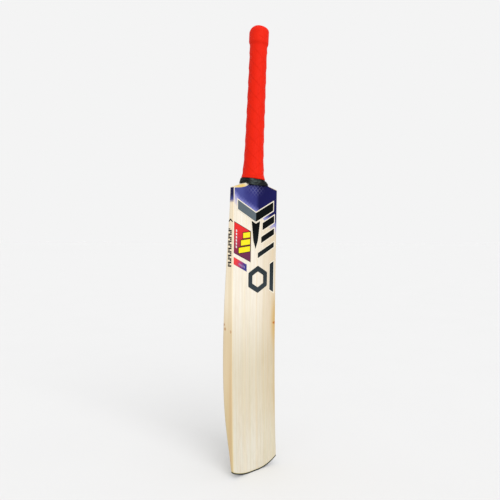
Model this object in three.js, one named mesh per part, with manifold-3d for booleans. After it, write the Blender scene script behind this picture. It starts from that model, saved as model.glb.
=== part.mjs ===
// Cricket bat: a willow blade with a laminated cane handle spliced into it.
// Millimetres. +X runs across the blade, +Y from the hitting face to the spine, +Z from toe to handle.
// The origin is the middle of the flat underside of the toe, where the bat stands.
import * as THREE from 'three';
import { mergeVertices } from 'three/addons/utils/BufferGeometryUtils.js';
import Module from 'manifold-3d';

const wasm = await Module();
wasm.setup();

// ---- Driving dimensions -------------------------------------------------------------------
const OVERALL_LENGTH = 850;
const BLADE_WIDTH = 108;
const SHOULDER_Z = 545;
const SHOULDER_SLOPE = Math.tan(THREE.MathUtils.degToRad(16));
const FACE_PLANE_Y = -5.5;
const GAP = 0.3;

// Blade
const HALF_WIDTH = BLADE_WIDTH / 2;
const FACE_BOW = 4.2;
const BOW_START_Z = 27;
const BOW_SKEW = 0.5;
const FACE_EDGE_RADIUS = 1.8;
const BACK_EDGE_RADIUS = 8;
const BACK_HOLLOWING = 1.7;
const HOLLOW_SHARES = [0.2, 0.4, 0.58, 0.74, 0.88];
const EDGE_DEPTHS = [
  [-8, 5.5], [22, 12.2], [67, 22], [122, 30.2], [207, 34], [322, 31], [437, 23], [545, 14.5], [572, 13],
];
const SPINE_DEPTHS = [
  [-8, 13], [22, 21], [67, 38], [122, 51], [207, 60], [322, 54], [437, 38], [545, 27], [572, 26],
];
const BLADE_STATIONS = 25;
const BLANK_LOW_Z = -2;

// Toe: its flat rest lies a little to the left of the middle
const TOE_SHIFT = -4.5;
const TOE_FLAT_HALF = 8.5;
const TOE_RISE = 12;
const TOE_GUARD = 1.3;

// Neck and splice
const NECK_TOP_Z = SHOULDER_Z + 15;
const NECK_HALF_TOP = 20.4;
const NECK_FILLET = 11;
const SPLICE_TIP_Z = SHOULDER_Z - 107;
const SPLICE_TIP_HALF = 2.5;
const SPLICE_TOP_HALF = 18.7;

// Handle, from its axis outwards
const AXIS_Z = SHOULDER_Z + 17;
const AXIS_Y = FACE_PLANE_Y + 10.5;
const LEAN = 0.0625;
const CANE_TOP_Z = OVERALL_LENGTH - 7;
const CANE_RADIUS = 13.5;
const CANE_TAPER = 1.9;
const CANE_TAPER_LENGTH = 226;
const CANE_FLARE = 4.2;
const CANE_FLARE_LENGTH = 24;
const OVAL_X = 0.985;
const OVAL_Y = 1.03;
const HANDLE_START_Z = SHOULDER_Z + 7;
const ROUND_FROM_Z = HANDLE_START_Z + 24;
const CORNERS_GONE_Z = HANDLE_START_Z + 14;
const WEDGE_SQUARENESS = 5;
const ROUND_SQUARENESS = 2;
const RING_SIDES = 28;
const HANDLE_STEPS = [0, 4, 8, 12, 16, 20, 24, 32, 42, 56, 76, 104, 140, 184, 236, 254, 260, 266];
const HANDLE_STATIONS = HANDLE_STEPS.map((h) => HANDLE_START_Z + h);

// Cane slips and the rubber springs between their layers
const SLIP_SPLIT_X = 7;
const SPRING_OFFSETS = [-7.5, 0.5, 8.5];
const SPRING_THICKNESS = 1.2;

// Sleeves over the handle, from the cane outwards
const BINDING_INNER = GAP;
const BINDING_OUTER = BINDING_INNER + 0.8;
const GRIP_INNER = BINDING_OUTER + GAP;
const GRIP_THICKNESS = 1.6;
const GRIP_BOTTOM_Z = NECK_TOP_Z + 4.5;
const GRIP_BAND_BOTTOM_Z = OVERALL_LENGTH - 36;
const GRIP_BAND_SWELL = 2;
const GRIP_CROWN = 12;
const GRIP_MOUTH_RADIUS = 6.5;
const CROWN_TILT = 0.1;
const GRIP_TOP_Z = OVERALL_LENGTH - (LEAN + CROWN_TILT) * GRIP_MOUTH_RADIUS;

// Tape round the neck
const TAPE_BOTTOM_Z = SHOULDER_Z + 6;
const TAPE_FADE_Z = GRIP_BOTTOM_Z + 6;
const TAPE_THICKNESS = 0.9;
const COLLAR_SPREAD_X = 9.6;
const COLLAR_SPREAD_Y = 3;
const COLLAR_FORWARD = 3;
const COLLAR_SQUARENESS_LOW = 3.4;
const COLLAR_SQUARENESS_TOP = 2.1;

// Stickers lie off the wood by a film of glue; the second layer lies on the first
const STICKER_GLUE = 0.15;
const STICKER_THICKNESS = 0.25;
const STICKER_LOW_Z = 320;
const STICKER_STATIONS = 10;
const FACE_FLAT_HALF = HALF_WIDTH - FACE_EDGE_RADIUS;

// Plain graphics down the face, all slanting alike
const SLANT = 0.52;
const CHEVRON = { apex: 482, half: 44, thick: 17 };
const SPEAR = { clear: 3.6, topHalf: 10.6, waistHalf: 5.8, waistZ: 446, tipZ: 430 };
const ARMS = [
  { fromX: 17, z: 466, thick: 14 },
  { fromX: 14, z: 441, thick: 12 },
  { fromX: 6, z: 412, thick: 10 },
];
const ARM_END_X = 47;
const TAIL = { fromX: 37, lowZ: 344, highZ: 400 };
const HEXAGON = { x: 7, z: 371, halfX: 23.5, halfZ: 26.5, band: 0.42 };
const PANEL = { toX: -11.5, lowZ: 423, highZ: 482, fall: 18.5 };
const BAR = { toX: -21, lowZ: 402, highZ: 415.7, fall: 15.2 };

// Stickers round the edges: their reach behind the face, and their heights
const EDGE_FILM = { near: 2.1, far: 11.6, lowZ: 517.5, highZ: 542.5 };
const EDGE_LABEL = { near: 6.7, far: 17.7, lowZ: 397, highZ: 491 };

// Cutting shapes reach well past the bat
const CUT_FRONT_Y = -60;
const CUT_BACK_Y = 90;
const CUT_SIDE = 60;
const SLAB_LENGTH = 600;
const SLAB_MIDDLE_Z = 650;

const COLORS = {
  willow: 0xe9dcc0,
  toe: 0x1c1d1b,
  cane: 0xc9a469,
  spring: 0x2a2522,
  twine: 0xd8cdb4,
  grip: 0xe8281a,
  tape: 0x1d2021,
  black: 0x141716,
  slate: 0x666f75,
  blue: 0x2b2a7c,
  red: 0xd22a2e,
  violet: 0x7a3a86,
};

// ---- Small helpers ------------------------------------------------------------------------
const group = new THREE.Group();

function add(name, geometry, color, roughness, metalness = 0) {
  const material = new THREE.MeshStandardMaterial({ color, roughness, metalness });
  const mesh = new THREE.Mesh(geometry, material);
  mesh.name = name;
  group.add(mesh);
}

function solid(geometry) {
  const bare = geometry.clone();
  bare.deleteAttribute('normal');
  bare.deleteAttribute('uv');
  const merged = mergeVertices(bare, 1e-4);
  const vertProperties = new Float32Array(merged.attributes.position.array);
  const triVerts = new Uint32Array(merged.index.array);
  return new wasm.Manifold(new wasm.Mesh({ numProp: 3, vertProperties, triVerts }));
}

function surface(manifold) {
  const mesh = manifold.getMesh();
  const geometry = new THREE.BufferGeometry();
  geometry.setAttribute('position', new THREE.BufferAttribute(mesh.vertProperties, 3));
  geometry.setIndex(new THREE.BufferAttribute(mesh.triVerts, 1));
  geometry.computeVertexNormals();
  return geometry;
}

// A smooth curve through [z, value] stations, read at any z.
function stationCurve(stations) {
  const points = stations.map(([z, value]) => new THREE.Vector2(z, value));
  return (z) => {
    const last = points.length - 2;
    const found = points.findIndex((p, i) => i <= last && z < points[i + 1].x);
    const i = found < 0 ? last : found;
    const slope = (k) => {
      const a = points[Math.max(k - 1, 0)];
      const b = points[Math.min(k + 1, points.length - 1)];
      return (b.y - a.y) / (b.x - a.x);
    };
    const span = points[i + 1].x - points[i].x;
    const t = THREE.MathUtils.clamp((z - points[i].x) / span, 0, 1);
    const rise = points[i + 1].y - points[i].y;
    const blend = t * t * (3 - 2 * t);
    const start = slope(i) * span * t * (1 - t) * (1 - t);
    const end = slope(i + 1) * span * t * t * (t - 1);
    return points[i].y + rise * blend + start + end;
  };
}

// Skins a stack of rings, each with the same number of points, anticlockwise seen from above.
// A closed stack is a sleeve: its rings run up the outside and down the inside.
function loft(rings, closed = false) {
  const sides = rings[0].length;
  const positions = rings.flat().flatMap((p) => [p.x, p.y, p.z]);
  const index = [];
  const last = closed ? rings.length : rings.length - 1;
  for (let k = 0; k < last; k += 1) {
    const low = k * sides;
    const high = ((k + 1) % rings.length) * sides;
    for (let j = 0; j < sides; j += 1) {
      const next = (j + 1) % sides;
      index.push(low + j, low + next, high + next, low + j, high + next, high + j);
    }
  }
  if (!closed) {
    capRing(rings[0], 0, true, positions, index);
    capRing(rings[rings.length - 1], (rings.length - 1) * sides, false, positions, index);
  }
  const geometry = new THREE.BufferGeometry();
  geometry.setAttribute('position', new THREE.Float32BufferAttribute(positions, 3));
  geometry.setIndex(index);
  geometry.computeVertexNormals();
  return geometry;
}

function capRing(ring, first, below, positions, index) {
  const middle = ring.reduce((sum, p) => sum.add(p), new THREE.Vector3()).divideScalar(ring.length);
  const centre = positions.length / 3;
  positions.push(middle.x, middle.y, middle.z);
  for (let j = 0; j < ring.length; j += 1) {
    const next = (j + 1) % ring.length;
    index.push(centre, first + (below ? next : j), first + (below ? j : next));
  }
}

// An outline drawn in X and Z, run through the bat from front to back.
function prismThroughY(shape) {
  const geometry = new THREE.ExtrudeGeometry(shape, { depth: CUT_BACK_Y - CUT_FRONT_Y, bevelEnabled: false });
  geometry.rotateX(Math.PI / 2);
  geometry.translate(0, CUT_BACK_Y, 0);
  return geometry;
}

// An outline drawn in Y and Z, run across the bat.
function prismThroughX(shape, fromX, toX) {
  const geometry = new THREE.ExtrudeGeometry(shape, { depth: toX - fromX, bevelEnabled: false });
  const turn = new THREE.Matrix4().makeBasis(
    new THREE.Vector3(0, 1, 0),
    new THREE.Vector3(0, 0, 1),
    new THREE.Vector3(1, 0, 0),
  );
  geometry.applyMatrix4(turn);
  geometry.translate(fromX, 0, 0);
  return geometry;
}

function polygon(points) {
  return new THREE.Shape(points.map(([u, v]) => new THREE.Vector2(u, v)));
}

// ---- Blade shape --------------------------------------------------------------------------
const edgeDepth = stationCurve(EDGE_DEPTHS);
const spineDepth = stationCurve(SPINE_DEPTHS);

function faceY(z) {
  const s = (z - BOW_START_Z) / (SHOULDER_Z - BOW_START_Z);
  return FACE_PLANE_Y + FACE_BOW * 4 * s * (1 - s) * (1 + BOW_SKEW * (1 - 2 * s));
}

function arcPoints(cx, cy, radius, fromDegrees, toDegrees, steps) {
  return Array.from({ length: steps + 1 }, (_, i) => {
    const angle = THREE.MathUtils.degToRad(fromDegrees + ((toDegrees - fromDegrees) * i) / steps);
    return [cx + radius * Math.cos(angle), cy + radius * Math.sin(angle)];
  });
}

// One level section of the blade: flat face, rounded edges, hollowed back rising to the spine.
// Growing it stands every side off the wood by that much.
function bladeRing(z, grow = 0) {
  const front = faceY(z) - grow;
  const edge = edgeDepth(z) + 2 * grow;
  const rise = spineDepth(z) + 2 * grow - edge;
  const half = HALF_WIDTH + grow;
  const faceRadius = Math.min(FACE_EDGE_RADIUS, edge * 0.35);
  const backRadius = Math.min(BACK_EDGE_RADIUS, edge * 0.45);
  const backHalf = half - backRadius;
  const right = [
    ...arcPoints(half - faceRadius, front + faceRadius, faceRadius, -90, 0, 3),
    ...arcPoints(backHalf, front + edge - backRadius, backRadius, 0, 90, 3),
  ];
  for (const u of HOLLOW_SHARES) {
    const climb = Math.sin((Math.PI / 2) * u) ** BACK_HOLLOWING;
    right.push([backHalf * (1 - u), front + edge + rise * climb]);
  }
  const left = right.map(([x, y]) => [-x, y]).reverse();
  const ring = [...right, [0, front + edge + rise], ...left];
  return ring.map(([x, y]) => new THREE.Vector3(x, y, z));
}

function bladeBlank(grow = 0) {
  const stations = levels(BLANK_LOW_Z, NECK_TOP_Z + 4, BLADE_STATIONS);
  return solid(loft(stations.map((z) => bladeRing(z, grow))));
}

// Half-width of the splice wedge, widest where the handle leaves the blade.
function spliceHalf(z) {
  const t = (z - SPLICE_TIP_Z) / (NECK_TOP_Z - SPLICE_TIP_Z);
  return SPLICE_TIP_HALF + (SPLICE_TOP_HALF - SPLICE_TIP_HALF) * t;
}

function splicePrism(clearance, topZ) {
  const low = SPLICE_TIP_Z - clearance;
  const top = spliceHalf(topZ) + clearance;
  const tip = SPLICE_TIP_HALF + clearance;
  const outline = polygon([[-tip, low], [tip, low], [top, topZ], [-top, topZ]]);
  return solid(prismThroughY(outline));
}

// The toe's curve, seen from the front: flat where the bat stands, then an arc up to each side.
const TOE_RUN = HALF_WIDTH - TOE_FLAT_HALF;
const TOE_ARC_RADIUS = (TOE_RUN * TOE_RUN + TOE_RISE * TOE_RISE) / (2 * TOE_RISE);
const OUTLINE_SIDE = HALF_WIDTH + 2;

function drawToe(shape, lift, leftwards = false) {
  const left = TOE_SHIFT - TOE_FLAT_HALF;
  const right = TOE_SHIFT + TOE_FLAT_HALF;
  const centreZ = TOE_ARC_RADIUS + lift;
  const down = -Math.PI / 2;
  const downLeft = down - Math.asin((OUTLINE_SIDE + left) / TOE_ARC_RADIUS);
  const downRight = down + Math.asin((OUTLINE_SIDE - right) / TOE_ARC_RADIUS);
  if (leftwards) {
    shape.absarc(right, centreZ, TOE_ARC_RADIUS, downRight, down, true);
    shape.absarc(left, centreZ, TOE_ARC_RADIUS, down, downLeft, true);
  } else {
    shape.absarc(left, centreZ, TOE_ARC_RADIUS, downLeft, down, false);
    shape.absarc(right, centreZ, TOE_ARC_RADIUS, down, downRight, false);
  }
}

function shoulderAt(x) {
  return SHOULDER_Z + (HALF_WIDTH - x) * SHOULDER_SLOPE;
}

// Front outline of the blade above its toe guard, with its neck beside the handle.
function bladeOutline(grow = 0) {
  const neck = NECK_HALF_TOP + grow;
  const filletFoot = neck + NECK_FILLET;
  const fillet = shoulderAt(neck) + grow;
  const shape = new THREE.Shape();
  drawToe(shape, TOE_GUARD + GAP);
  shape.lineTo(OUTLINE_SIDE, shoulderAt(OUTLINE_SIDE) + grow);
  shape.lineTo(filletFoot, shoulderAt(filletFoot) + grow);
  shape.quadraticCurveTo(neck + 1, fillet, neck, NECK_TOP_Z + grow);
  shape.lineTo(-neck, NECK_TOP_Z + grow);
  shape.quadraticCurveTo(-neck - 1, fillet, -filletFoot, shoulderAt(filletFoot) + grow);
  shape.lineTo(-OUTLINE_SIDE, shoulderAt(OUTLINE_SIDE) + grow);
  return solid(prismThroughY(shape));
}

// The band between the toe curve and the same curve lifted by the guard's thickness.
function toeBand() {
  const shape = new THREE.Shape();
  drawToe(shape, 0);
  drawToe(shape, TOE_GUARD, true);
  return solid(prismThroughY(shape));
}

// ---- Handle shape -------------------------------------------------------------------------
function axisY(z) {
  return AXIS_Y - LEAN * (z - AXIS_Z);
}

function caneRadius(z) {
  const h = z - AXIS_Z;
  const taper = CANE_TAPER * Math.max(0, 1 - h / CANE_TAPER_LENGTH);
  return CANE_RADIUS + taper + CANE_FLARE * Math.exp(-h / CANE_FLARE_LENGTH);
}

// The section eases from the squared wedge at the shoulders to the round, leaning handle.
function handleSection(z) {
  const ease = THREE.MathUtils.smoothstep(z, HANDLE_START_Z, ROUND_FROM_Z);
  const corners = THREE.MathUtils.smoothstep(z, HANDLE_START_Z, CORNERS_GONE_Z);
  const radius = caneRadius(z);
  const wedgeDepth = spineDepth(z) / 2;
  return {
    halfX: THREE.MathUtils.lerp(spliceHalf(z), radius * OVAL_X, ease),
    halfY: THREE.MathUtils.lerp(wedgeDepth, radius * OVAL_Y, ease),
    centreY: THREE.MathUtils.lerp(faceY(z) + wedgeDepth, axisY(z), ease),
    power: THREE.MathUtils.lerp(WEDGE_SQUARENESS, ROUND_SQUARENESS, corners),
    tilt: LEAN * ease,
  };
}

// A ring round the handle at height z, standing off the cane by offset.
function ringAround(section, offset, z) {
  const ring = [];
  for (let j = 0; j < RING_SIDES; j += 1) {
    const angle = (2 * Math.PI * j) / RING_SIDES;
    const cos = Math.cos(angle);
    const sin = Math.sin(angle);
    const reach = (Math.abs(cos) ** section.power + Math.abs(sin) ** section.power) ** (-1 / section.power);
    const y = reach * sin * (section.halfY + offset);
    const x = reach * cos * (section.halfX + offset);
    ring.push(new THREE.Vector3(x, section.centreY + y, z + section.tilt * y));
  }
  return ring;
}

function handleRing(z, offset = 0) {
  return ringAround(handleSection(z), offset, z);
}

// The squared collar section: it clears the willow tangs below and the round handle above.
function collarRing(z, offset) {
  const base = handleSection(z);
  const drop = 1 - THREE.MathUtils.smoothstep(z, TAPE_BOTTOM_Z, TAPE_FADE_Z);
  const section = {
    ...base,
    halfX: base.halfX + COLLAR_SPREAD_X * drop,
    halfY: base.halfY + COLLAR_SPREAD_Y * drop,
    centreY: base.centreY - COLLAR_FORWARD * drop,
    power: THREE.MathUtils.lerp(COLLAR_SQUARENESS_TOP, COLLAR_SQUARENESS_LOW, drop),
  };
  return ringAround(section, offset, z);
}

function levels(from, to, steps) {
  return Array.from({ length: steps + 1 }, (_, i) => from + ((to - from) * i) / steps);
}

// Every layer of the handle is skinned over the same heights, so that the layers stay parallel.
function stationsBetween(from, to) {
  return [from, ...HANDLE_STATIONS.filter((z) => z > from + 1 && z < to - 1), to];
}

// A tube whose outside and inside follow the handle: skin(z) gives the outer offset.
function sleeve(lowZ, highZ, inner, skin, ringAt = handleRing) {
  const up = stationsBetween(lowZ, highZ);
  const outside = up.map((z) => ringAt(z, skin(z)));
  const inside = [...up].reverse().map((z) => ringAt(z, inner));
  return loft([...outside, ...inside], true);
}

// ---- Build: wood --------------------------------------------------------------------------
const blank = bladeBlank();

function buildBlade() {
  const trimmed = blank.intersect(bladeOutline());
  const blade = trimmed.subtract(splicePrism(GAP, NECK_TOP_Z + 6));
  add('blade', surface(blade), COLORS.willow, 0.5);
}

function buildToeGuard() {
  const guard = blank.intersect(toeBand());
  add('toe_guard', surface(guard), COLORS.toe, 0.6);
}

// The whole cane handle before it is divided: wedge below, turned handle above.
function caneBlank() {
  const wedge = blank.intersect(splicePrism(0, HANDLE_START_Z + 0.2));
  const turned = solid(loft(stationsBetween(HANDLE_START_Z, CANE_TOP_Z).map((z) => handleRing(z))));
  return wedge.add(turned);
}

// A slab that leans with the handle, between two distances behind and two across its axis.
function leaningSlab(fromX, toX, fromY, toY) {
  const box = new THREE.BoxGeometry(toX - fromX, toY - fromY, SLAB_LENGTH);
  box.translate((fromX + toX) / 2, (fromY + toY) / 2, 0);
  box.rotateX(Math.atan(LEAN));
  box.translate(0, axisY(SLAB_MIDDLE_Z), SLAB_MIDDLE_Z);
  return solid(box);
}

function buildCane() {
  const cane = caneBlank();
  const half = SPRING_THICKNESS / 2;
  const layerStarts = [-CUT_SIDE, ...SPRING_OFFSETS.map((y) => y + half + GAP)];
  const layerEnds = [...SPRING_OFFSETS.map((y) => y - half - GAP), CUT_SIDE];
  const layerNames = ['front', 'front_inner', 'back_inner', 'back'];
  const columns = [
    ['left', -CUT_SIDE, -SLIP_SPLIT_X - GAP / 2],
    ['middle', -SLIP_SPLIT_X + GAP / 2, SLIP_SPLIT_X - GAP / 2],
    ['right', SLIP_SPLIT_X + GAP / 2, CUT_SIDE],
  ];
  layerNames.forEach((layer, k) => {
    for (const [side, fromX, toX] of columns) {
      const slip = cane.intersect(leaningSlab(fromX, toX, layerStarts[k], layerEnds[k]));
      add(`cane_${layer}_${side}`, surface(slip), COLORS.cane, 0.6);
    }
  });
  SPRING_OFFSETS.forEach((y, k) => {
    const spring = cane.intersect(leaningSlab(-CUT_SIDE, CUT_SIDE, y - half, y + half));
    const name = ['front', 'middle', 'back'][k];
    add(`rubber_spring_${name}`, surface(spring), COLORS.spring, 0.85);
  });
}

// ---- Build: sleeves -----------------------------------------------------------------------
function buildBinding() {
  const sleeved = sleeve(GRIP_BOTTOM_Z + 0.5, CANE_TOP_Z - 5, BINDING_INNER, () => BINDING_OUTER);
  add('handle_binding', sleeved, COLORS.twine, 0.8);
}

function gripSkin(z) {
  const band = THREE.MathUtils.smoothstep(z, GRIP_BAND_BOTTOM_Z - 8, GRIP_BAND_BOTTOM_Z + 2);
  return GRIP_INNER + GRIP_THICKNESS + GRIP_BAND_SWELL * band;
}

// The thick top band domes inwards over the end of the handle, round a small mouth.
function crownRing(degrees, mouthOffset) {
  const crownZ = GRIP_TOP_Z - GRIP_CROWN;
  const turn = THREE.MathUtils.degToRad(degrees);
  const offset = THREE.MathUtils.lerp(mouthOffset, gripSkin(crownZ), Math.cos(turn));
  const z = crownZ + GRIP_CROWN * Math.sin(turn);
  const section = handleSection(z);
  section.tilt += CROWN_TILT * Math.sin(turn);
  return ringAround(section, offset, z);
}

function buildGrip() {
  const mouth = GRIP_MOUTH_RADIUS - CANE_RADIUS;
  const upZ = stationsBetween(GRIP_BOTTOM_Z, GRIP_TOP_Z - GRIP_CROWN);
  const rings = upZ.map((z) => handleRing(z, gripSkin(z)));
  for (const degrees of [20, 40, 60, 76, 90]) rings.push(crownRing(degrees, mouth));
  rings.push(handleRing(CANE_TOP_Z + GAP, mouth));
  rings.push(handleRing(CANE_TOP_Z + GAP, GAP));
  rings.push(handleRing(CANE_TOP_Z - 4, GRIP_INNER));
  const downZ = stationsBetween(GRIP_BOTTOM_Z, CANE_TOP_Z - 8).reverse();
  rings.push(...downZ.map((z) => handleRing(z, GRIP_INNER)));
  add('grip', loft(rings, true), COLORS.grip, 0.55);
}

// Tape wound over the neck. The grown blade and handle are cut from it, so it clears both.
function buildCollarTape() {
  const top = GRIP_BOTTOM_Z - GAP;
  const outer = () => GAP + TAPE_THICKNESS;
  const tube = solid(sleeve(TAPE_BOTTOM_Z, top, GAP, outer, collarRing));
  const wood = bladeBlank(GAP).intersect(bladeOutline(GAP));
  const handle = solid(loft(stationsBetween(HANDLE_START_Z, ROUND_FROM_Z).map((z) => handleRing(z, GAP))));
  add('collar_tape', surface(tube.subtract(wood).subtract(handle)), COLORS.tape, 0.45);
}

// ---- Build: stickers ----------------------------------------------------------------------
// A thin curved sheet lying off the face, from which face stickers are cut.
function faceSheet(layer) {
  const inner = STICKER_GLUE + layer * (STICKER_THICKNESS + STICKER_GLUE);
  const rings = levels(STICKER_LOW_Z, TAPE_BOTTOM_Z, STICKER_STATIONS).map((z) => {
    const back = faceY(z) - inner;
    const front = back - STICKER_THICKNESS;
    const corners = [
      [-FACE_FLAT_HALF, front], [FACE_FLAT_HALF, front], [FACE_FLAT_HALF, back], [-FACE_FLAT_HALF, back],
    ];
    return corners.map(([x, y]) => new THREE.Vector3(x, y, z));
  });
  return solid(loft(rings));
}

function faceSticker(name, shape, layer, color) {
  const cut = faceSheet(layer).intersect(solid(prismThroughY(shape)));
  add(name, surface(cut), color, 0.35);
}

// A parallelogram with upright sides, its lower left corner at fromX and z.
function slanted(fromX, toX, z, thick, slope) {
  const climb = (toX - fromX) * slope;
  return polygon([[fromX, z], [toX, z + climb], [toX, z + climb + thick], [fromX, z + thick]]);
}

// The shoulder print covers the top of the face and runs out towards its lower left.
function buildShoulderSticker() {
  const side = FACE_FLAT_HALF;
  const margin = 0.8;
  const topZ = TAPE_BOTTOM_Z - 2 * GAP;
  const topX = HALF_WIDTH - (topZ + margin - SHOULDER_Z) / SHOULDER_SLOPE;
  const sideTopZ = shoulderAt(side) - margin;
  const outline = [
    [-side, 513], [-18, 507], [12, 494], [32, 475], [side, 452],
    [side, sideTopZ], [topX, topZ], [-topX, topZ], [-side, sideTopZ],
  ];
  faceSticker('shoulder_sticker', polygon(outline), 0, COLORS.blue);
}

// A chevron in two halves, with a spear below it that covers the splice.
function buildChevronAndSpear() {
  const { apex, half, thick } = CHEVRON;
  const seam = GAP / 2;
  const left = slanted(-half, -seam, apex + half * SLANT, thick, -SLANT);
  const right = slanted(seam, half, apex + seam * SLANT, thick, SLANT);
  faceSticker('chevron_sticker_left', left, 1, COLORS.slate);
  faceSticker('chevron_sticker_right', right, 1, COLORS.black);
  const { clear, topHalf, waistHalf, waistZ, tipZ } = SPEAR;
  const notchZ = apex - clear;
  const topZ = notchZ + topHalf * SLANT;
  const spear = [
    [0, tipZ], [waistHalf, waistZ], [topHalf, topZ], [0, notchZ], [-topHalf, topZ], [-waistHalf, waistZ],
  ];
  faceSticker('spear_sticker', polygon(spear), 1, COLORS.black);
}

function buildArmsAndTail() {
  ARMS.forEach(({ fromX, z, thick }, k) => {
    faceSticker(`arm_sticker_${k + 1}`, slanted(fromX, ARM_END_X, z, thick, SLANT), 1, COLORS.black);
  });
  const { fromX, lowZ, highZ } = TAIL;
  const climb = (ARM_END_X - fromX) * SLANT;
  const tail = [[fromX, lowZ + climb], [ARM_END_X, lowZ], [ARM_END_X, highZ + climb], [fromX, highZ]];
  faceSticker('tail_sticker', polygon(tail), 1, COLORS.black);
}

function buildHexagonSticker() {
  const { x, z, halfX, halfZ, band } = HEXAGON;
  const corners = (k) => {
    const wide = halfX * k;
    const high = halfZ * k;
    return [
      [x, z - high], [x + wide, z - high / 2], [x + wide, z + high / 2],
      [x, z + high], [x - wide, z + high / 2], [x - wide, z - high / 2],
    ];
  };
  const shape = polygon(corners(1));
  shape.holes.push(polygon(corners(1 - band)));
  faceSticker('hexagon_sticker', shape, 1, COLORS.black);
}

function buildPanelAndBar() {
  for (const [name, { toX, lowZ, highZ, fall }, color] of [
    ['panel_sticker', PANEL, COLORS.red],
    ['bar_sticker', BAR, COLORS.violet],
  ]) {
    const slope = -fall / (toX + FACE_FLAT_HALF);
    faceSticker(name, slanted(-FACE_FLAT_HALF, toX, lowZ, highZ - lowZ, slope), 0, color);
  }
}

// Stickers that wrap the edges are cut from a thin skin standing off the whole blade.
const bladeSkin = bladeBlank(STICKER_GLUE + STICKER_THICKNESS).subtract(bladeBlank(STICKER_GLUE));

function edgeSticker(name, side, { near, far, lowZ, highZ }, color) {
  const outline = polygon([
    [faceY(lowZ) + near, lowZ], [faceY(lowZ) + far, lowZ],
    [faceY(highZ) + far, highZ], [faceY(highZ) + near, highZ],
  ]);
  const width = OUTLINE_SIDE - HALF_WIDTH + BACK_EDGE_RADIUS;
  const fromX = side < 0 ? -OUTLINE_SIDE : OUTLINE_SIDE - width;
  const block = solid(prismThroughX(outline, fromX, fromX + width));
  add(name, surface(bladeSkin.intersect(block)), color, 0.35);
}

function buildEdgeStickers() {
  edgeSticker('edge_shoulder_sticker_left', -1, EDGE_FILM, COLORS.blue);
  edgeSticker('edge_shoulder_sticker_right', 1, EDGE_FILM, COLORS.blue);
  edgeSticker('edge_label_sticker', -1, EDGE_LABEL, COLORS.black);
}

buildBlade();
buildToeGuard();
buildCane();
buildBinding();
buildGrip();
buildCollarTape();
buildShoulderSticker();
buildChevronAndSpear();
buildArmsAndTail();
buildHexagonSticker();
buildPanelAndBar();
buildEdgeStickers();

export default group;
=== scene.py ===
# The looks of the cricket bat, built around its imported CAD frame.
# Shapes are worked out in millimetres, in the frame's own axes, and put into Blender in metres.
import math

import bmesh
import bpy
from mathutils import Matrix, Vector, noise


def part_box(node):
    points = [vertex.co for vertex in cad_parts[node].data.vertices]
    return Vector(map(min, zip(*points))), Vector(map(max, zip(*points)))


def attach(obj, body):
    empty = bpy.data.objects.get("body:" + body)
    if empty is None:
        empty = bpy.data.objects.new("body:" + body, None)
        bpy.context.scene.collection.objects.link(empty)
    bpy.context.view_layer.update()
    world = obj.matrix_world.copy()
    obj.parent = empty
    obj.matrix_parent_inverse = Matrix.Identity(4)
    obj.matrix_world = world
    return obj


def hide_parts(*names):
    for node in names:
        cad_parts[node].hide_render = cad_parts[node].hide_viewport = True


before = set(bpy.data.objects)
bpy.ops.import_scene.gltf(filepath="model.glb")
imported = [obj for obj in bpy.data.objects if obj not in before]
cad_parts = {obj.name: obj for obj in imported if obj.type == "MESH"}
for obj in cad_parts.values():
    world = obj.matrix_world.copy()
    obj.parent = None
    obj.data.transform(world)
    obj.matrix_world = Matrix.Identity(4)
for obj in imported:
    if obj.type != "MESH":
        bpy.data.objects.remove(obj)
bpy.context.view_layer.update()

MM = 0.001

# ---- Sizes taken from the frame ----


def box_mm(node):
    low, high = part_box(node)
    return [v / MM for v in low], [v / MM for v in high]


HALF_WIDTH = box_mm("blade")[1][0]
NECK_TOP_Z = box_mm("blade")[1][2]
TAPE_BOTTOM_Z = box_mm("collar_tape")[0][2]
EDGE_FILM_Z = box_mm("edge_shoulder_sticker_left")[0][2]
SHOULDER_Z = NECK_TOP_Z - 15
OVERALL_LENGTH = 850

# ---- The shape that the CAD part is built on ----

SHOULDER_SLOPE = math.tan(math.radians(16))
FACE_PLANE_Y = -5.5
GAP = 0.3

FACE_BOW = 4.2
BOW_START_Z = 27
BOW_SKEW = 0.5
FACE_EDGE_RADIUS = 1.8
BACK_EDGE_RADIUS = 8
BACK_HOLLOWING = 1.7
EDGE_DEPTHS = [
    (-8, 5.5), (22, 12.2), (67, 22), (122, 30.2), (207, 34), (322, 31), (437, 23), (545, 14.5), (572, 13),
]
SPINE_DEPTHS = [
    (-8, 13), (22, 21), (67, 38), (122, 51), (207, 60), (322, 54), (437, 38), (545, 27), (572, 26),
]

TOE_SHIFT = -4.5
TOE_FLAT_HALF = 8.5
TOE_RISE = 12
TOE_RUN = HALF_WIDTH - TOE_FLAT_HALF
TOE_RADIUS = (TOE_RUN * TOE_RUN + TOE_RISE * TOE_RISE) / (2 * TOE_RISE)
TOE_GUARD = 1.9

NECK_HALF_TOP = 20.4
NECK_FILLET = 11
SPLICE_TIP_Z = SHOULDER_Z - 107
SPLICE_TIP_HALF = 2.5
SPLICE_TOP_HALF = 18.7

AXIS_Z = SHOULDER_Z + 17
AXIS_Y = FACE_PLANE_Y + 10.5
LEAN = 0.0625
CANE_TOP_Z = OVERALL_LENGTH - 7
CANE_RADIUS = 13.5
CANE_TAPER = 1.9
CANE_TAPER_LENGTH = 226
CANE_FLARE = 4.2
CANE_FLARE_LENGTH = 24
OVAL_X = 0.985
OVAL_Y = 1.03
HANDLE_START_Z = SHOULDER_Z + 7
ROUND_FROM_Z = HANDLE_START_Z + 24
CORNERS_GONE_Z = HANDLE_START_Z + 14

SLIP_SPLIT_X = 7
SPRING_OFFSETS = (-7.5, 0.5, 8.5)
SPRING_THICKNESS = 1.2

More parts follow.
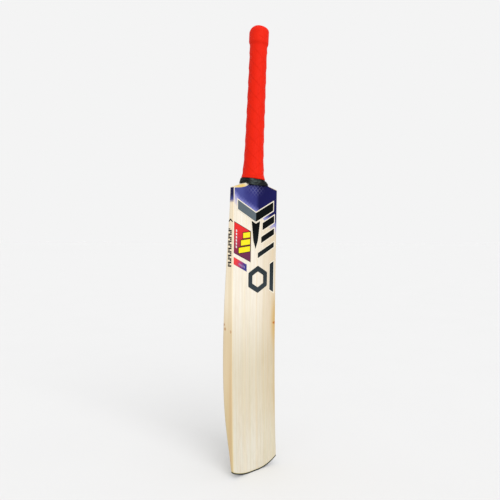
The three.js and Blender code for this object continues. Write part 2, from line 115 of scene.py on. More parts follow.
BINDING_THICKNESS = 0.8
GRIP_THICKNESS = 1.6
GRIP_BOTTOM_Z = NECK_TOP_Z + 4.5
GRIP_BAND_SWELL = 2
GRIP_CROWN = 12
GRIP_MOUTH_RADIUS = 6.5
CROWN_TILT = 0.1
GRIP_TOP_Z = OVERALL_LENGTH - (LEAN + CROWN_TILT) * GRIP_MOUTH_RADIUS
TAPE_FADE_Z = GRIP_BOTTOM_Z + 6
TAPE_THICKNESS = 0.9
COLLAR_SPREAD_X = 9.6
COLLAR_SPREAD_Y = 3
COLLAR_FORWARD = 3

# How square a section is: 2 is an ellipse, and more has fuller corners
ROUND_POWER = 2
SQUARE_POWER = 5
COLLAR_TOP_POWER = 2.1
COLLAR_FOOT_POWER = 3.4


def lerp(a, b, t):
    return a + (b - a) * t


def smoothstep(value, low, high):
    t = min(max((value - low) / (high - low), 0), 1)
    return t * t * (3 - 2 * t)


def levels(low, high, steps):
    return [lerp(low, high, i / steps) for i in range(steps + 1)]


def station_curve(stations, z):
    """A smooth curve through (z, value) stations, read at z."""
    last = len(stations) - 2
    i = next((k for k in range(last + 1) if z < stations[k + 1][0]), last)

    def slope(k):
        a = stations[max(k - 1, 0)]
        b = stations[min(k + 1, len(stations) - 1)]
        return (b[1] - a[1]) / (b[0] - a[0])

    span = stations[i + 1][0] - stations[i][0]
    t = min(max((z - stations[i][0]) / span, 0), 1)
    rise = stations[i + 1][1] - stations[i][1]
    start = slope(i) * span * t * (1 - t) ** 2
    end = slope(i + 1) * span * t * t * (t - 1)
    return stations[i][1] + rise * t * t * (3 - 2 * t) + start + end


def edge_depth(z):
    return station_curve(EDGE_DEPTHS, z)


def spine_depth(z):
    return station_curve(SPINE_DEPTHS, z)


def face_y(z):
    s = (z - BOW_START_Z) / (SHOULDER_Z - BOW_START_Z)
    return FACE_PLANE_Y + FACE_BOW * 4 * s * (1 - s) * (1 + BOW_SKEW * (1 - 2 * s))


def back_radius(edge):
    """The rounding of a back edge, which gets smaller where the blade is thin."""
    return min(BACK_EDGE_RADIUS, edge * 0.45)


def back_y(x, z, grow=0):
    """The hollowed back of the blade between its rounded edges."""
    edge = edge_depth(z) + 2 * grow
    half = HALF_WIDTH + grow - back_radius(edge)
    u = 1 - min(abs(x) / half, 1)
    rise = spine_depth(z) + 2 * grow - edge
    return face_y(z) - grow + edge + rise * math.sin(math.pi / 2 * u) ** BACK_HOLLOWING


def toe_z(x):
    """The toe's outline from the front: flat in the middle, then an arc up to each side."""
    out = max(abs(x - TOE_SHIFT) - TOE_FLAT_HALF, 0)
    return TOE_RADIUS - math.sqrt(TOE_RADIUS * TOE_RADIUS - out * out)


def shoulder_at(x):
    """The height of the shoulder's plain slope."""
    return SHOULDER_Z + (HALF_WIDTH - abs(x)) * SHOULDER_SLOPE


def shoulder_z(x):
    """The top of the blade from the front, with the fillet up to its neck."""
    x = abs(x)
    foot = NECK_HALF_TOP + NECK_FILLET
    bend = NECK_HALF_TOP + 1
    if x >= foot:
        return shoulder_at(x)
    if x <= NECK_HALF_TOP:
        return NECK_TOP_Z
    a = foot - 2 * bend + NECK_HALF_TOP
    b = 2 * (bend - foot)
    c = foot - x
    t = (-b - math.sqrt(max(b * b - 4 * a * c, 0))) / (2 * a)
    middle = shoulder_at(NECK_HALF_TOP) * 2 * t * (1 - t)
    return shoulder_at(foot) * (1 - t) ** 2 + middle + NECK_TOP_Z * t * t


def splice_half(z):
    t = (z - SPLICE_TIP_Z) / (NECK_TOP_Z - SPLICE_TIP_Z)
    return lerp(SPLICE_TIP_HALF, SPLICE_TOP_HALF, t)


def axis_y(z):
    return AXIS_Y - LEAN * (z - AXIS_Z)


def cane_radius(z):
    h = z - AXIS_Z
    taper = CANE_TAPER * max(0, 1 - h / CANE_TAPER_LENGTH)
    return CANE_RADIUS + taper + CANE_FLARE * math.exp(-h / CANE_FLARE_LENGTH)


def handle_section(z):
    """Half-widths, centre, squareness and tilt of the bare handle at height z."""
    ease = smoothstep(z, HANDLE_START_Z, ROUND_FROM_Z)
    rounding = smoothstep(z, HANDLE_START_Z, CORNERS_GONE_Z)
    radius = cane_radius(z)
    wedge = spine_depth(z) / 2
    return {
        "half_x": lerp(splice_half(z), radius * OVAL_X, ease),
        "half_y": lerp(wedge, radius * OVAL_Y, ease),
        "centre_y": lerp(face_y(z) + wedge, axis_y(z), ease),
        "power": lerp(SQUARE_POWER, ROUND_POWER, rounding),
        "tilt": LEAN * ease,
    }


def collar_section(z):
    """The handle's section spread out to the foot of the tape."""
    section = handle_section(z)
    drop = 1 - smoothstep(z, TAPE_BOTTOM_Z, TAPE_FADE_Z)
    section["half_x"] += COLLAR_SPREAD_X * drop
    section["half_y"] += COLLAR_SPREAD_Y * drop
    section["centre_y"] -= COLLAR_FORWARD * drop
    section["power"] = lerp(COLLAR_TOP_POWER, COLLAR_FOOT_POWER, drop)
    return section


def around(section, angle, offset, z):
    """The point at that angle of a section, standing off it by offset."""
    power = section["power"]
    reach = (abs(math.cos(angle)) ** power + abs(math.sin(angle)) ** power) ** (-1 / power)
    y = reach * math.sin(angle) * (section["half_y"] + offset)
    x = reach * math.cos(angle) * (section["half_x"] + offset)
    return Vector((x, section["centre_y"] + y, z + section["tilt"] * y))


# ---- Mesh helpers ----


def turns(sides):
    """The angles of a ring's points."""
    return [2 * math.pi * j / sides for j in range(sides)]


def linked(name, data):
    """A new object in the scene."""
    made = bpy.data.objects.new(name, data)
    bpy.context.scene.collection.objects.link(made)
    return made


def raw_mesh(name, points, faces):
    """A mesh in metres from points in millimetres."""
    mesh = bpy.data.meshes.new(name)
    mesh.from_pydata([Vector(p) * MM for p in points], [], faces)
    return mesh


def soften(mesh, degrees):
    """Smooth shading that keeps the edges over so many degrees crisp."""
    mesh.shade_smooth()
    mesh.set_sharp_from_angle(angle=math.radians(degrees))


def mesh_object(name, points, faces, materials, face_slots=None):
    """A new object from points in millimetres."""
    return finished_object(name, raw_mesh(name, points, faces), materials, face_slots)


def finished_object(name, mesh, materials, face_slots=None, smooth=35):
    """A new object whose faces stay crisp where they meet at over smooth degrees."""
    for material in materials:
        mesh.materials.append(material)
    if face_slots:
        mesh.polygons.foreach_set("material_index", face_slots)
    mesh.validate()
    soften(mesh, smooth)
    return linked(name, mesh)


def settle(piece, slot, *nodes):
    """Every piece rides on the one body and stands for its CAD nodes. Its slot is not used."""
    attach(piece, "root")
    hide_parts(*nodes)


def skin(rings, closed=False):
    """Quads over a stack of rings with equal counts, anticlockwise seen from above."""
    sides = len(rings[0])
    faces = []
    for k in range(len(rings) if closed else len(rings) - 1):
        low, high = k * sides, (k + 1) % len(rings) * sides
        for j in range(sides):
            n = (j + 1) % sides
            faces.append((low + j, low + n, high + n, high + j))
    return faces


def joined(rings):
    return [p for ring in rings for p in ring]


# ---- Material helpers ----


class Tree:
    """Short calls that build one material's nodes. Values may be numbers, colours or sockets."""

    def __init__(self, name):
        self.material = bpy.data.materials.new(name)
        self.material.use_nodes = True
        self.nodes = self.material.node_tree.nodes
        self.links = self.material.node_tree.links
        self.shader = self.nodes["Principled BSDF"]
        metres = self.node("ShaderNodeTexCoord").outputs["Object"]
        self.place = self.scaled(metres, (1 / MM,) * 3)

    def node(self, kind, **settings):
        made = self.nodes.new(kind)
        for key, value in settings.items():
            setattr(made, key, value)
        return made

    def put(self, socket, value):
        if isinstance(value, bpy.types.NodeSocket):
            self.links.new(value, socket)
        elif socket.type == "RGBA":
            socket.default_value = (*value, 1)
        else:
            socket.default_value = value

    def fed(self, kind, values, **settings):
        """The outputs of a new node whose first inputs take the values."""
        node = self.node(kind, **settings)
        for socket, value in zip(node.inputs, values):
            self.put(socket, value)
        return node.outputs

    def vectors(self, operation, a, b):
        return self.fed("ShaderNodeVectorMath", (a, b), operation=operation)

    def scaled(self, vector, scale):
        return self.vectors("MULTIPLY", vector, scale)[0]

    def maths(self, operation, a, b=0, c=0):
        return self.fed("ShaderNodeMath", (a, b, c), operation=operation)[0]

    def times(self, a, b):
        return self.maths("MULTIPLY", a, b)

    def xyz(self):
        """The place in millimetres, as its three coordinates."""
        return self.fed("ShaderNodeSeparateXYZ", (self.place,))

    def span(self, value, low, high, to_low=0, to_high=1, kind="SMOOTHSTEP"):
        """Turns low to high into to_low to to_high, and stays flat beyond them."""
        return self.fed("ShaderNodeMapRange", (value, low, high, to_low, to_high), interpolation_type=kind)[0]

    def noise(self, scale, detail=3, roughness=0.5, vector=None):
        """Noise with so many waves to the millimetre along each axis."""
        place = self.scaled(self.place if vector is None else vector, scale)
        return self.fed("ShaderNodeTexNoise", (place, 0, 1, detail, roughness))["Fac"]

    def mix(self, factor, a, b, blend="MIX"):
        node = self.node("ShaderNodeMix", data_type="RGBA", blend_type=blend)
        self.put(node.inputs["Factor"], factor)
        self.put(node.inputs[6], a)
        self.put(node.inputs[7], b)
        return node.outputs[2]

    def bump(self, height, distance):
        """A bump of so many millimetres where height goes from 0 to 1."""
        node = self.node("ShaderNodeBump")
        self.put(node.inputs["Height"], height)
        node.inputs["Distance"].default_value = distance * MM
        node.inputs["Strength"].default_value = 1
        self.put(self.shader.inputs["Normal"], node.outputs[0])

    def finish(self, colour, grain, first, last, specular, ends=(0.2, 0.8)):
        """Sets the colour, and a roughness that goes from first to last with a grain."""
        self.put(self.shader.inputs["Base Color"], colour)
        self.put(self.shader.inputs["Roughness"], self.span(grain, *ends, first, last, "LINEAR"))
        self.shader.inputs["Specular IOR Level"].default_value = specular
        return self.material


def srgb(*seen):
    """A colour as it is seen, 0 to 255, as the linear colour that Blender works in."""
    return tuple(((v / 255 + 0.055) / 1.055) ** 2.4 if v > 10 else v / 255 / 12.92 for v in seen)


# ---- Materials ----


def spot(tree, centre, size, fade):
    """1 inside an ellipsoid, 0 outside, with a soft rim. Sizes in millimetres."""
    shrink = tuple(1 / s for s in size)
    middle = tuple(c / s for c, s in zip(centre, size))
    distance = tree.vectors("DISTANCE", tree.scaled(tree.place, shrink), middle)["Value"]
    return tree.span(distance, 1 - fade, 1 + fade, 1, 0)


KNOT = srgb(164, 92, 6)

# A yellow stain, painted shade on the shoulder's top left corner and the knots: centre, size, softness,
# strength and colour
MARKS = (
    ((HALF_WIDTH, FACE_PLANE_Y, 284), (10, 12, 40), 0.8, 0.85, srgb(184, 148, 80)),
    # painted shade: a warm, darker patch standing in for the shoulder's edge rolling away from the light
    ((-40, FACE_PLANE_Y, 549), (15, 8, 5), 0.5, 1, srgb(206, 178, 104)),
    ((-HALF_WIDTH, 24, 286), (3, 2.5, 2.6), 0.4, 0.6, KNOT),
    ((-HALF_WIDTH, 21, 278), (3, 2.5, 3), 0.4, 0.65, KNOT),
    ((-HALF_WIDTH, 3.2, 275), (2, 2.2, 3), 0.4, 0.45, KNOT),
    ((HALF_WIDTH - 3, FACE_PLANE_Y + 2.5, 282.4), (4.4, 5, 2.4), 0.4, 0.95, KNOT),
    ((18, 58, 118), (5, 5, 7), 0.4, 0.5, KNOT),
)

# Three sets of grain stripes: how far each is shifted, and its tint
STRIPE_TINTS = (
    (0, (1, 0.965, 0.945)),
    (31, (1, 0.985, 0.91)),
    (67, (0.965, 0.972, 0.965)),
)


def toe_height(tree, x):
    """The height of the toe's outline at x, as in toe_z."""
    aside = tree.maths("ABSOLUTE", tree.maths("SUBTRACT", x, TOE_SHIFT))
    out = tree.maths("MAXIMUM", tree.maths("SUBTRACT", aside, TOE_FLAT_HALF), 0)
    inside = tree.maths("SUBTRACT", TOE_RADIUS * TOE_RADIUS, tree.times(out, out))
    return tree.maths("SUBTRACT", TOE_RADIUS, tree.maths("SQRT", inside))


def side_look(tree, y, z, streaks):
    """The colour of the blade's two edges: tan, with painted shade that makes them paler upwards, and redder
    beside the face.
    """
    # painted shade: the edges darken towards the toe and pale upwards
    colour = tree.mix(tree.span(z, 60, 200), srgb(206, 186, 140), srgb(219, 199, 163))
    colour = tree.mix(tree.span(z, 255, 345), colour, srgb(238, 224, 197))
    colour = tree.mix(tree.span(streaks, 0.38, 0.7, 0, 0.35), colour, srgb(202, 174, 126))
    beside = tree.times(tree.span(y, -3, 2), tree.span(y, 4, 14, 1, 0))
    beside = tree.times(beside, tree.span(z, 150, 290, 0.65, 0))
    return tree.mix(beside, colour, srgb(204, 172, 128))


def willow_look(tree):
    """Pale straight-grained willow, with painted shade that darkens it towards the toe: returns its colour,
    its bump height and its fibres.
    """
    x, y, z = tree.xyz()
    sway = tree.noise((0.012, 0.03, 0.003), 2)
    leaning = tree.maths("MULTIPLY_ADD", y, 0.12, tree.maths("MULTIPLY_ADD", sway, 12, x))
    streaks = tree.noise((0.34, 0.34, 0.005), 3, 0.6)
    fibres = tree.noise((1.7, 1.7, 0.02), 3, 0.7)
    flecks = tree.noise((2.6, 2.6, 0.5), 2, 0.5)
    flame = tree.noise((0.55, 0.55, 0.045), 3, 0.6)
    blotches = tree.noise((0.06, 0.06, 0.012), 3, 0.6)
    rightwards = tree.span(x, -6, 52)
    # painted shade: the wood is coloured darker towards the toe and paler upwards; it also turns tanner to
    # the right
    toe_wood_painted_shade = tree.mix(rightwards, srgb(200, 195, 182), srgb(192, 185, 166))
    low_wood_painted_shade = tree.mix(rightwards, srgb(196, 188, 169), srgb(187, 175, 151))
    high_wood_painted_light = tree.mix(rightwards, srgb(219, 213, 201), srgb(200, 186, 163))
    colour = tree.mix(tree.span(z, 40, 160), toe_wood_painted_shade, low_wood_painted_shade)
    colour = tree.mix(tree.span(z, 190, 360), colour, high_wood_painted_light)
    for shift, tint in STRIPE_TINTS:
        across = tree.fed("ShaderNodeCombineXYZ", (tree.maths("ADD", leaning, shift),))[0]
        stripe = tree.noise((0.14, 0, 0), 2, 0.6, across)
        colour = tree.mix(tree.span(stripe, 0.46, 0.66), colour, tint, "MULTIPLY")
    wave = tree.maths("SINE", tree.times(leaning, 0.74))
    lines = tree.maths("POWER", tree.maths("MAXIMUM", wave, 0), 12)
    colour = tree.mix(tree.times(lines, 0.16), colour, srgb(170, 138, 98))
    for grain, low, high, strength, tint in (
        (streaks, 0.42, 0.7, 0.22, srgb(196, 172, 136)),
        (fibres, 0.5, 0.8, 0.16, srgb(180, 154, 116)),
        (flecks, 0.66, 0.8, 0.1, srgb(150, 116, 78)),
    ):
        colour = tree.mix(tree.span(grain, low, high, 0, strength), colour, tint)
    colour = tree.mix(tree.span(blotches, 0.45, 0.7, 0, 0.7), colour, (0.95, 0.93, 0.9), "MULTIPLY")
    near_toe = tree.times(tree.span(z, 60, 220, 0.5, 0.25), tree.span(flame, 0.42, 0.62))
    colour = tree.mix(near_toe, colour, (0.9, 0.9, 0.86), "MULTIPLY")
    edge = tree.span(tree.maths("ABSOLUTE", x), HALF_WIDTH - 1, HALF_WIDTH - 0.1)
    colour = tree.mix(edge, colour, side_look(tree, y, z, streaks))
    right_rim = tree.times(tree.span(x, HALF_WIDTH - 9, HALF_WIDTH - 1), tree.span(z, 60, 150))
    right_rim = tree.times(right_rim, tree.span(z, 310, 350, 0.75, 0))
    colour = tree.mix(right_rim, colour, srgb(180, 156, 112))
    above_toe = tree.maths("SUBTRACT", z, toe_height(tree, x))
    glue = tree.span(above_toe, TOE_GUARD + 0.4, TOE_GUARD + 1.8, 1, 0)
    colour = tree.mix(glue, colour, srgb(176, 164, 92))
    for centre, size, fade, strength, tint in MARKS:
        colour = tree.mix(tree.times(spot(tree, centre, size, fade), strength), colour, tint)
    height = tree.maths("MULTIPLY_ADD", lines, -0.5, fibres)
    return colour, height, fibres


def willow():
    tree = Tree("willow")
    colour, height, fibres = willow_look(tree)
    tree.bump(height, 0.1)
    return tree.finish(colour, fibres, 0.48, 0.6, 0.2)


def cane():
    tree = Tree("cane")
    fibres = tree.noise((1.4, 1.4, 0.02), 4, 0.7)
    bundles = tree.noise((0.5, 0.5, 0.008), 2, 0.5)
    pores = tree.noise((3.5, 3.5, 0.05), 1, 0.4)
    colour = tree.mix(bundles, srgb(224, 190, 134), srgb(190, 148, 92))
    colour = tree.mix(tree.span(fibres, 0.45, 0.75, 0, 0.6), colour, srgb(150, 106, 60))
    colour = tree.mix(tree.span(pores, 0.64, 0.74, 0, 0.7), colour, srgb(84, 56, 32))
    tree.bump(fibres, 0.15)
    return tree.finish(colour, fibres, 0.5, 0.7, 0.3)


def dark_rubber(name, shade, grain):
    tree = Tree(name)
    speckle = tree.noise((grain,) * 3, 3, 0.6)
    smudge = tree.noise((0.05,) * 3, 2, 0.5)
    lighter = tuple(v * 1.9 + 0.004 for v in shade)
    colour = tree.mix(tree.times(speckle, smudge), shade, lighter)
    tree.bump(speckle, 0.08)
    return tree.finish(colour, speckle, 0.5, 0.72, 0.35)


def twine():
    tree = Tree("waxed_twine")
    strands = tree.noise((2.2, 2.2, 2.2), 3, 0.7)
    wax = tree.noise((0.08, 0.08, 0.05), 2, 0.5)
    colour = tree.mix(strands, srgb(222, 208, 178), srgb(178, 158, 122))
    colour = tree.mix(tree.span(wax, 0.5, 0.75, 0, 0.4), colour, srgb(150, 126, 88))
    tree.bump(strands, 0.15)
    return tree.finish(colour, wax, 0.75, 0.5, 0.3, (0.3, 0.7))


def grip_rubber():
    tree = Tree("red_grip_rubber")
    pits = tree.node("ShaderNodeTexVoronoi", feature="F1")
    tree.put(pits.inputs["Vector"], tree.scaled(tree.place, (0.72, 0.72, 0.72)))
    pits.inputs["Scale"].default_value = 1
    pits.inputs["Randomness"].default_value = 0.25
    dots = tree.span(pits.outputs["Distance"], 0.1, 0.5)
    bloom = tree.noise((0.045, 0.045, 0.03), 3, 0.6)
    scuff = tree.noise((0.4, 0.4, 0.4), 4, 0.7)
    colour = tree.mix(bloom, srgb(219, 36, 10), srgb(204, 24, 5))
    colour = tree.mix(tree.span(scuff, 0.58, 0.78, 0, 0.25), colour, srgb(226, 46, 28))
    # painted shade: each moulded pit is darker towards its bottom
    colour = tree.mix(tree.span(dots, 0, 1, 0.2, 0), colour, srgb(140, 4, 2))
    tree.bump(dots, 0.14)
    return tree.finish(colour, scuff, 0.52, 0.66, 0.08)


def tape():
    tree = Tree("black_tape")
    x = tree.xyz()[0]
    creases = tree.noise((0.5, 0.5, 1.4), 4, 0.6)
    patches = tree.noise((0.14, 0.14, 0.42), 3, 0.6)
    # painted highlight: grey-green patches, strongest just left of the middle, stand in for light glancing
    # off the creased tape
    painted_shine = tree.times(tree.span(x, -22, -14), tree.span(x, -4, 8, 1, 0))
    painted_shine = tree.times(tree.maths("MULTIPLY_ADD", painted_shine, 0.6, 0.1), tree.span(patches, 0.38, 0.62))
    colour = tree.mix(painted_shine, srgb(5, 6, 6), srgb(74, 84, 82))
    tree.bump(creases, 0.5)
    return tree.finish(colour, creases, 0.3, 0.5, 0.09, (0.3, 0.7))


def ink(name, colour, darker, specular):
    """A printed film: one ink, slightly uneven, with a soft gloss."""
    tree = Tree(name)
    mottle = tree.noise((0.09, 0.09, 0.05), 3, 0.6)
    tree.bump(tree.noise((1.1, 1.1, 1.1), 2, 0.5), 0.02)
    return tree.finish(tree.mix(mottle, colour, darker), mottle, 0.29, 0.41, specular)


def two_way_ink(name, first, last, start, end, specular=0.3):
    """A film printed from one ink to another between two points of the face, given as (x, z)."""
    tree = Tree(name)
    run = Vector(end) - Vector(start)
    onwards = run.normalized()
    along = tree.vectors("DOT_PRODUCT", tree.place, (onwards.x, 0, onwards.y))["Value"]
    grain = tree.noise((1.6, 1.6, 1.6), 2, 0.6)
    shaken = tree.maths("MULTIPLY_ADD", grain, 4, along)
    begin = onwards.dot(Vector(start))
    colour = tree.mix(tree.span(shaken, begin + 2, begin + run.length), first, last)
    tree.bump(grain, 0.02)
    return tree.finish(colour, grain, 0.3, 0.4, specular)


# The shoulder film: the size of its diamonds, and where and how it fades out
DIAMOND = 4.2
FADE_LEFT_Z = 507.5
FADE_HEIGHT = 32
FADE_SLOPE = 0.48
FADE_CORNER_RISE = 7


def film_over_wood(tree, cover, blue):
    """A film's ink where cover is 1 and the bare willow where it is 0."""
    wood, height, _ = willow_look(tree)
    tree.bump(height, 0.03)
    return tree.finish(tree.mix(cover, wood, blue), cover, 0.48, 0.36, 0.08, (0, 1))


def shoulder_print():
    """Blue film over the shoulders: lighter on the left, navy on the right, fading out downwards."""
    tree = Tree("blue_shoulder_print")
    x, _, z = tree.xyz()
    rising = tree.maths("PINGPONG", tree.maths("ADD", x, z), DIAMOND)
    falling = tree.maths("PINGPONG", tree.maths("SUBTRACT", x, z), DIAMOND)
    diamonds = tree.span(tree.maths("MINIMUM", rising, falling), 0.3 * DIAMOND, 0.03 * DIAMOND)
    blue = tree.mix(tree.span(x, -44, -14), srgb(66, 71, 132), srgb(48, 50, 112))
    blue = tree.mix(tree.span(x, -3, 9), blue, srgb(14, 13, 68))
    depth = tree.noise((0.05, 0.05, 0.05), 2, 0.5)
    blue = tree.mix(tree.span(depth, 0.4, 0.7, 0, 0.25), blue, srgb(26, 24, 88))
    # painted highlight: the diamond lattice shows pale only in a spot near the top middle, where light
    # catches the film
    painted_glint = tree.times(spot(tree, (-2, FACE_PLANE_Y, 549), (16, 20, 14), 0.7), 0.5)
    blue = tree.mix(tree.times(painted_glint, diamonds), blue, srgb(118, 118, 160))
    above = tree.maths("MULTIPLY_ADD", tree.maths("ADD", x, HALF_WIDTH), FADE_SLOPE, z)
    above = tree.maths("ADD", above, tree.span(x, -HALF_WIDTH, -36, -FADE_CORNER_RISE, 0))
    speckled = tree.maths("MULTIPLY_ADD", diamonds, -2.5, above)
    rise = tree.span(speckled, FADE_LEFT_Z, FADE_LEFT_Z + FADE_HEIGHT, kind="LINEAR")
    cover = tree.maths("POWER", tree.span(rise, 0, 0.7, kind="LINEAR"), 0.7)
    blue = tree.mix(tree.span(rise, 0.45, 1), srgb(120, 122, 184), blue)
    return film_over_wood(tree, cover, blue)


def edge_print():
    """The same film where it wraps the blade's edges, fading out downwards."""
    tree = Tree("blue_edge_print")
    z = tree.xyz()[2]
    grain = tree.noise((0.9, 0.9, 0.9), 2, 0.6)
    shaken = tree.maths("MULTIPLY_ADD", grain, 7, z)
    blue = tree.mix(tree.span(z, EDGE_FILM_Z + 3, EDGE_FILM_Z + 16), srgb(66, 72, 140), srgb(14, 12, 66))
    return film_over_wood(tree, tree.span(shaken, EDGE_FILM_Z, EDGE_FILM_Z + 10), blue)


# The studio's light, which the floor's shade is worked out from
BACKDROP = 0.905
SUN_AZIMUTH = -16
SUN_ELEVATION = 30
SUN_STRENGTH = 2
SUN_SOFTNESS = 50


def studio_floor():
    tree = Tree("studio_floor")
    dust = tree.noise((0.004, 0.004, 0.004), 2, 0.5)
    shade = BACKDROP / (BACKDROP + SUN_STRENGTH * math.sin(math.radians(SUN_ELEVATION)) / math.pi)
    colour = tree.mix(dust, (shade * 0.99,) * 3, (shade * 1.01,) * 3)
    return tree.finish(colour, dust, 0.9, 0.9, 0.1)


WILLOW = willow()
CANE = cane()
SPRING = dark_rubber("spring_rubber", srgb(44, 36, 32), 1.2)
TOE = dark_rubber("toe_rubber", srgb(20, 21, 19), 1.6)
TWINE = twine()
GRIP = grip_rubber()
TAPE = tape()
BLACK = two_way_ink("black_ink", srgb(48, 56, 60), srgb(7, 9, 9), (-5, 345), (34, 470), specular=0.04)
SLATE = ink("slate_ink", srgb(90, 99, 105), srgb(78, 88, 94), 0.06)
BLACK_FLAT = ink("outline_ink", srgb(18, 20, 24), srgb(10, 12, 14), 0.06)
LABEL = ink("label_ink", srgb(22, 23, 24), srgb(12, 13, 14), 0.05)
LILAC = ink("lilac_ink", srgb(150, 134, 168), srgb(134, 118, 156), 0.1)
CREAM = ink("keyline_cream", srgb(219, 212, 196), srgb(212, 202, 182), 0.2)
YELLOW = ink("yellow_ink", srgb(222, 214, 26), srgb(214, 196, 16), 0.2)
WHITE = ink("white_ink", srgb(206, 206, 210), srgb(190, 192, 200), 0.2)

# ---- Blade ----

FACE_COLUMNS = 44
ARC_STEPS = 6
ROW_POINTS = FACE_COLUMNS + 2 * (ARC_STEPS + 1)
ROWS = 150
MIDDLE_Z = 300
TOE_ROUND = 1.2
SHOULDER_ROUND = 0.9
SHOULDER_LIFT = 0.7
SPLICE_CUT_Y = (-60, 90)


def section_point(back, i, z, inset):
    """Point i of the blade's front or back line at height z, counted from left to right."""
    front = face_y(z) + inset
    edge = edge_depth(z) - 2 * inset
    half = HALF_WIDTH - inset
    radius = back_radius(edge) if back else min(FACE_EDGE_RADIUS, edge * 0.35)
    mirrored = i >= ROW_POINTS // 2
    k = ROW_POINTS - 1 - i if mirrored else i
    if k <= ARC_STEPS:
        turn = math.pi / 2 * k / ARC_STEPS
        x = -half + radius * (1 - math.cos(turn))
        rise = radius * (1 - math.sin(turn))
        y = front + edge - rise if back else front + rise
    else:
        share = (k - ARC_STEPS) / ((FACE_COLUMNS + 1) / 2)
        x = -(half - radius) * (1 - share)
        y = back_y(x, z, -inset) if back else front
    return (-x if mirrored else x), y


def blade_row(height_at, inset):
    """One row of the blade, front then back. height_at gives z from x, found in a few passes."""
    lines = []
    for back in (False, True):
        line = []
        for i in range(ROW_POINTS):
            z = MIDDLE_Z
            for _ in range(3):
                x, y = section_point(back, i, z, inset)
                z = height_at(x)
            line.append(Vector((x, y, z)))
        lines.append(line)
    return lines


def end_rows(radius, base, upward):
    """Rows that round off an end of the blade over a radius, from its flat out to its side."""
    rows = []
    for turn in levels(0, math.pi / 2, 4):
        inset = radius * (1 - math.sin(turn))
        lift = radius * (1 - math.cos(turn)) * (1 if upward else -1)
        rows.append(blade_row(lambda x, lift=lift: base(x) + lift, inset))
    return rows


def blade_top(x):
    return shoulder_z(x) + SHOULDER_LIFT


def toe_base(x):
    return toe_z(x) + TOE_GUARD + GAP / 2


def blade_rows():
    rows = end_rows(TOE_ROUND, toe_base, True)
    for share in levels(0, 1, ROWS)[1:-1]:
        def between(x, share=share):
            return lerp(toe_base(x) + TOE_ROUND, blade_top(x) - SHOULDER_ROUND, share)
        rows.append(blade_row(between, 0))
    rows += end_rows(SHOULDER_ROUND, blade_top, False)[::-1]
    return rows


def closed_block(rows):
    """A closed mesh from rows of front and back lines, with its two ends filled by quads."""
    rings = [front + back[::-1] for front, back in rows]
    faces = skin(rings)
    sides = len(rings[0])
    columns = sides // 2
    top = (len(rings) - 1) * sides
    for i in range(columns - 1):
        j = sides - 1 - i
        faces.append((i, j, j - 1, i + 1))
        faces.append((top + i, top + i + 1, top + j - 1, top + j))
    return joined(rings), faces


def splice_cutter():
    """A tapering prism a hair wider than the cane wedge, from well before the face to behind the back."""
    top_z = NECK_TOP_Z + 20
    tip = SPLICE_TIP_HALF + GAP
    top = splice_half(top_z) + GAP
    low = SPLICE_TIP_Z - GAP
    outline = [(-tip, low), (tip, low), (top, top_z), (-top, top_z)]
    points = [(x, y, z) for y in SPLICE_CUT_Y for x, z in outline]
    faces = [(0, 1, 2, 3), (7, 6, 5, 4)] + [(i, i + 4, (i + 1) % 4 + 4, (i + 1) % 4) for i in range(4)]
    return linked("splice_cutter", raw_mesh("splice_cutter", points, faces))


def apply_modifiers(piece):
    depsgraph = bpy.context.evaluated_depsgraph_get()
    mesh = bpy.data.meshes.new_from_object(piece.evaluated_get(depsgraph), depsgraph=depsgraph)
    piece.modifiers.clear()
    piece.data = mesh


def build_blade():
    blade = mesh_object("willow_blade", *closed_block(blade_rows()), [WILLOW])
    cutter = splice_cutter()
    cut = blade.modifiers.new("splice", "BOOLEAN")
    cut.operation = "DIFFERENCE"
    cut.object = cutter
    cut.solver = "EXACT"
    apply_modifiers(blade)
    bpy.data.objects.remove(cutter)
    soften(blade.data, 30)
    settle(blade, "willow", "blade")


def build_toe_guard():
    """A strip of sheet rubber that follows the toe, with its edges eased."""
    rows = []
    for share, inset in ((0, 0.35), (0.25, 0.05), (0.75, 0.05), (1, 0.35)):
        rows.append(blade_row(lambda x, share=share: toe_z(x) + share * TOE_GUARD, inset))
    guard = mesh_object("rubber_toe_guard", *closed_block(rows), [TOE])
    settle(guard, "toe_rubber", "toe_guard")


# ---- Cane handle ----

RING_QUARTER = 18
ROUND_CANE_Z = 590


def wedge_point(quarter, share, z):
    """A point on the square outline of the splice wedge, flush with the blade front and back."""
    half = splice_half(z)
    if quarter in (0, 2):
        x = lerp(-half, half, share if quarter == 0 else 1 - share)
        return x, face_y(z) if quarter == 0 else back_y(x, z)
    y = lerp(face_y(z), back_y(half, z), share if quarter == 1 else 1 - share)
    return half if quarter == 1 else -half, y


def cane_ring(z):
    ease = smoothstep(z, HANDLE_START_Z, ROUND_FROM_Z)
    section = handle_section(z)
    section["power"] = ROUND_POWER
    ring = []
    for quarter in range(4):
        for k in range(RING_QUARTER):
            share = k / RING_QUARTER
            angle = math.radians(-135 + 90 * (quarter + share))
            turned = around(section, angle, 0, z)
            x, y = wedge_point(quarter, share, min(z, NECK_TOP_Z))
            wedge = Vector((x, y, z))
            ring.append(wedge.lerp(turned, ease))
    return ring


def cane_blank():
    """The whole cane handle in one piece, from the splice tip to its eased butt."""
    heights = levels(SPLICE_TIP_Z, HANDLE_START_Z, 34)
    heights += levels(HANDLE_START_Z, ROUND_CANE_Z, 16)[1:]
    heights += levels(ROUND_CANE_Z, CANE_TOP_Z - 1.5, 50)[1:]
    rings = [cane_ring(z) for z in heights]
    centre = Vector((0, axis_y(CANE_TOP_Z), CANE_TOP_Z))
    rings.append([centre.lerp(p, 0.93) + Vector((0, 0, 1.2)) for p in rings[-1]])
    faces = skin(rings)
    sides = len(rings[0])
    faces.append(tuple(range(sides))[::-1])
    faces.append(tuple(len(rings) * sides - sides + j for j in range(sides)))
    return raw_mesh("cane_blank", joined(rings), faces)


